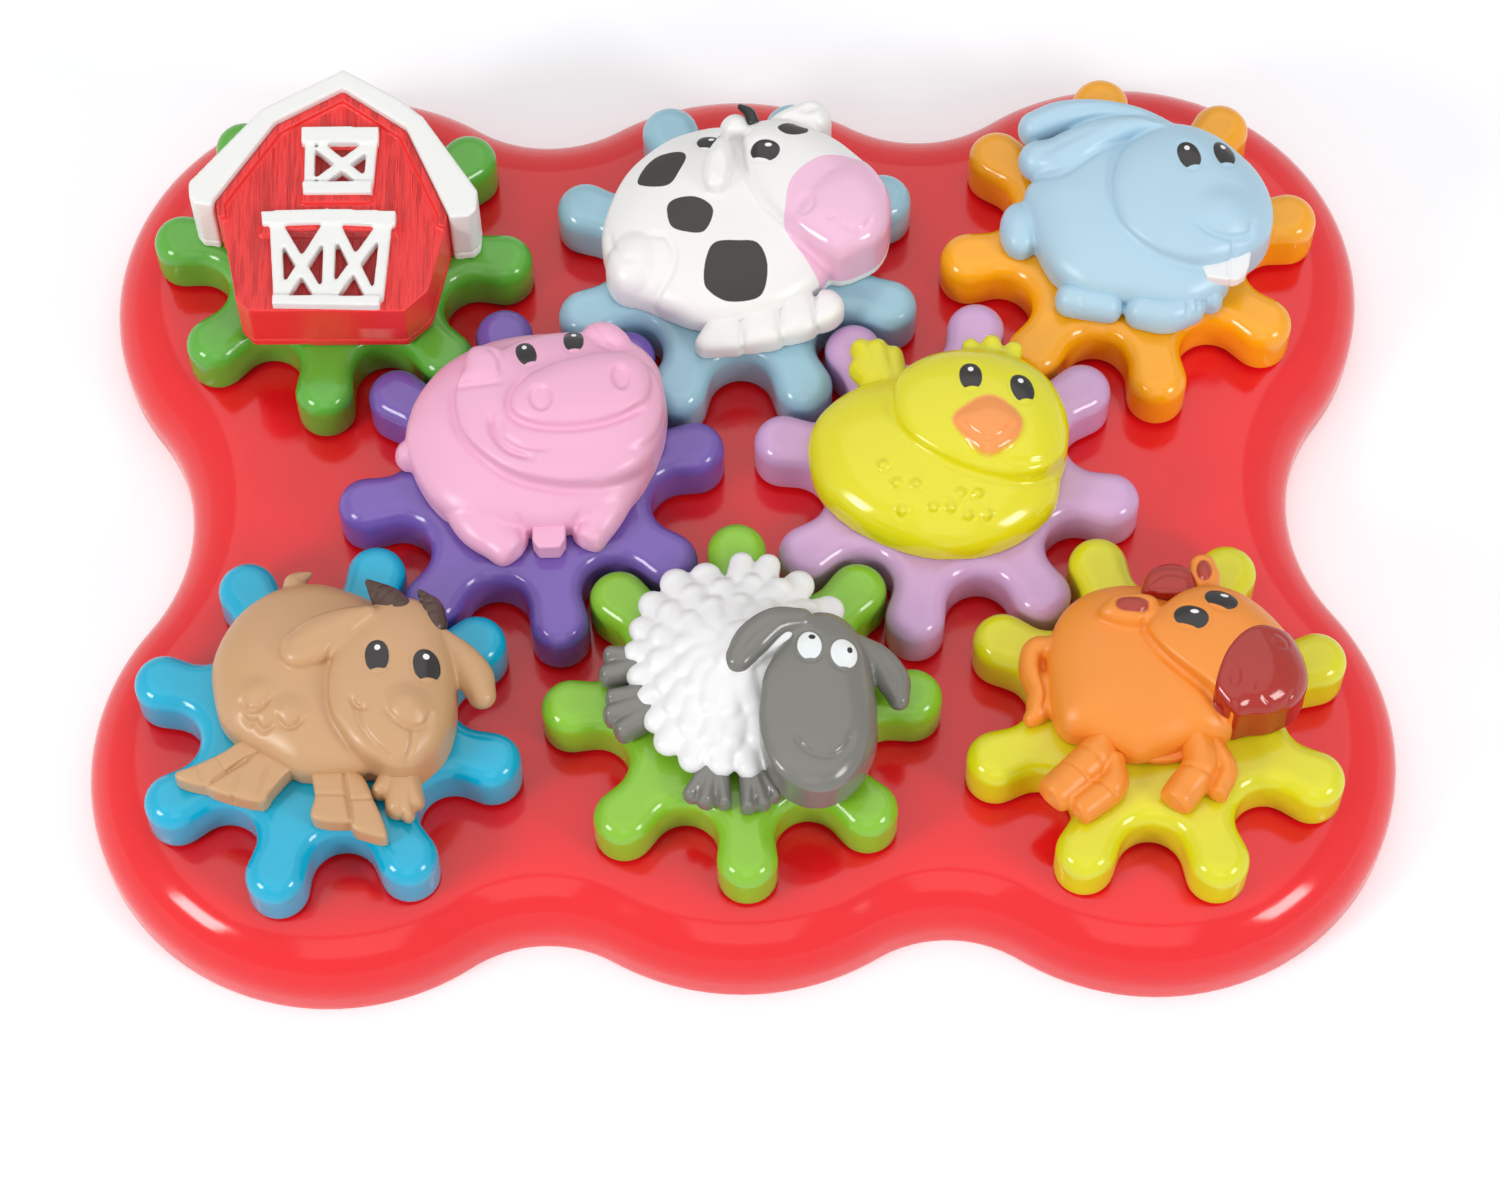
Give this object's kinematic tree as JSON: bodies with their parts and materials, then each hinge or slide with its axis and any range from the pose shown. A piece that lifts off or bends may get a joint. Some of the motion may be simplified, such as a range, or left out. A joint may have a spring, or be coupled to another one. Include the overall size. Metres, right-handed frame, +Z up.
{
  "type": "spinning gear puzzle toy",
  "caption": "Toddler puzzle board with meshing gears that spin together, each carrying a lift-off farm figure on a hexagonal peg.",
  "frame": {"origin": "middle of the board outline, on the plane of its underside", "axes": "+X to the right of the board along its length, +Y to its back, +Z up out of the gears"},
  "size_m": [0.3452, 0.2714, 0.0656],
  "materials": {
    "board_red": "glossy moulded red",
    "cover_red": "plain moulded red, satin",
    "screw_steel": "zinc plated steel",
    "retainer_white": "natural white nylon",
    "gear_green": "glossy moulded green",
    "gear_sky_blue": "glossy moulded sky blue",
    "gear_orange": "glossy moulded orange",
    "gear_purple": "glossy moulded purple",
    "gear_lilac": "glossy moulded lilac",
    "gear_cyan": "glossy moulded cyan",
    "gear_lime": "glossy moulded lime",
    "gear_yellow": "glossy moulded yellow",
    "barn_red": "satin red with moulded wood grain and white printed doors",
    "trim_white": "satin white",
    "cow_white": "satin white with printed brown spots and a pink muzzle",
    "rabbit_blue": "satin pale blue",
    "pig_pink": "satin pink",
    "chick_yellow": "glossy yellow with a printed orange beak",
    "goat_tan": "satin tan with printed brown horns",
    "fleece_white": "satin white",
    "sheep_grey": "glossy warm grey",
    "horse_orange": "satin orange with printed brown forelock and hooves",
    "muzzle_brown": "glossy red brown"
  },
  "bodies": {
    "board": {"base_top": "board_red", "base_cover": "cover_red", "cover_screw_1": "screw_steel", "cover_screw_2": "screw_steel", "cover_screw_3": "screw_steel", "cover_screw_4": "screw_steel", "cover_screw_5": "screw_steel", "cover_screw_6": "screw_steel", "pig_gear_retainer": "retainer_white", "cow_gear_retainer": "retainer_white", "sheep_gear_retainer": "retainer_white", "barn_gear_retainer": "retainer_white", "goat_gear_retainer": "retainer_white", "chick_gear_retainer": "retainer_white", "rabbit_gear_retainer": "retainer_white", "horse_gear_retainer": "retainer_white"},
    "pig_wheel": {"pig_gear": "gear_purple"},
    "pig_figure": {"pig_front": "pig_pink", "pig_peg": "pig_pink"},
    "cow_wheel": {"cow_gear": "gear_sky_blue"},
    "cow_figure": {"cow_front": "cow_white", "cow_peg": "cow_white"},
    "sheep_wheel": {"sheep_gear": "gear_lime"},
    "sheep_figure": {"sheep_front": "fleece_white", "sheep_peg": "fleece_white", "sheep_head": "sheep_grey"},
    "barn_wheel": {"barn_gear": "gear_green"},
    "barn_figure": {"barn_front": "barn_red", "barn_back": "barn_red", "barn_roof": "trim_white"},
    "goat_wheel": {"goat_gear": "gear_cyan"},
    "goat_figure": {"goat_front": "goat_tan", "goat_peg": "goat_tan"},
    "chick_wheel": {"chick_gear": "gear_lilac"},
    "chick_figure": {"chick_front": "chick_yellow", "chick_peg": "chick_yellow"},
    "rabbit_wheel": {"rabbit_gear": "gear_orange"},
    "rabbit_figure": {"rabbit_front": "rabbit_blue", "rabbit_peg": "rabbit_blue"},
    "horse_wheel": {"horse_gear": "gear_yellow"},
    "horse_figure": {"horse_front": "horse_orange", "horse_peg": "horse_orange", "horse_muzzle": "muzzle_brown"}
  },
  "joints": [
    {"name": "pig_spin", "type": "hinge", "parent": "board", "child": "pig_wheel", "pos_m": [-0.05538, 0, 0.026], "axis": [0, 0, 1], "continuous": true},
    {"name": "pig_lift", "type": "slide", "parent": "pig_wheel", "child": "pig_figure", "axis": [0, 0, 1], "range_m": [0, 0.06]},
    {"name": "cow_spin", "type": "hinge", "parent": "board", "child": "cow_wheel", "pos_m": [0, 0.06748, 0.026], "axis": [0, 0, 1], "continuous": true},
    {"name": "cow_lift", "type": "slide", "parent": "cow_wheel", "child": "cow_figure", "axis": [0, 0, 1], "range_m": [0, 0.06]},
    {"name": "sheep_spin", "type": "hinge", "parent": "board", "child": "sheep_wheel", "pos_m": [0, -0.06748, 0.026], "axis": [0, 0, 1], "continuous": true},
    {"name": "sheep_lift", "type": "slide", "parent": "sheep_wheel", "child": "sheep_figure", "axis": [0, 0, 1], "range_m": [0, 0.06]},
    {"name": "barn_spin", "type": "hinge", "parent": "board", "child": "barn_wheel", "pos_m": [-0.10791, 0.07135, 0.026], "axis": [0, 0, 1], "continuous": true},
    {"name": "barn_lift", "type": "slide", "parent": "barn_wheel", "child": "barn_figure", "axis": [0, 0, 1], "range_m": [0, 0.06]},
    {"name": "goat_spin", "type": "hinge", "parent": "board", "child": "goat_wheel", "pos_m": [-0.10791, -0.07135, 0.026], "axis": [0, 0, 1], "continuous": true},
    {"name": "goat_lift", "type": "slide", "parent": "goat_wheel", "child": "goat_figure", "axis": [0, 0, 1], "range_m": [0, 0.06]},
    {"name": "chick_spin", "type": "hinge", "parent": "board", "child": "chick_wheel", "pos_m": [0.05538, 0, 0.026], "axis": [0, 0, 1], "continuous": true},
    {"name": "chick_lift", "type": "slide", "parent": "chick_wheel", "child": "chick_figure", "axis": [0, 0, 1], "range_m": [0, 0.06]},
    {"name": "rabbit_spin", "type": "hinge", "parent": "board", "child": "rabbit_wheel", "pos_m": [0.10791, 0.07135, 0.026], "axis": [0, 0, 1], "continuous": true},
    {"name": "rabbit_lift", "type": "slide", "parent": "rabbit_wheel", "child": "rabbit_figure", "axis": [0, 0, 1], "range_m": [0, 0.06]},
    {"name": "horse_spin", "type": "hinge", "parent": "board", "child": "horse_wheel", "pos_m": [0.10791, -0.07135, 0.026], "axis": [0, 0, 1], "continuous": true},
    {"name": "horse_lift", "type": "slide", "parent": "horse_wheel", "child": "horse_figure", "axis": [0, 0, 1], "range_m": [0, 0.06]}
  ],
  "couplings": [
    {"joint": "cow_spin", "follows": "pig_spin", "ratio": -1},
    {"joint": "sheep_spin", "follows": "pig_spin", "ratio": -1},
    {"joint": "barn_spin", "follows": "pig_spin", "ratio": -1},
    {"joint": "goat_spin", "follows": "pig_spin", "ratio": -1},
    {"joint": "chick_spin", "follows": "pig_spin", "ratio": 1},
    {"joint": "rabbit_spin", "follows": "pig_spin", "ratio": -1},
    {"joint": "horse_spin", "follows": "pig_spin", "ratio": -1}
  ]
}
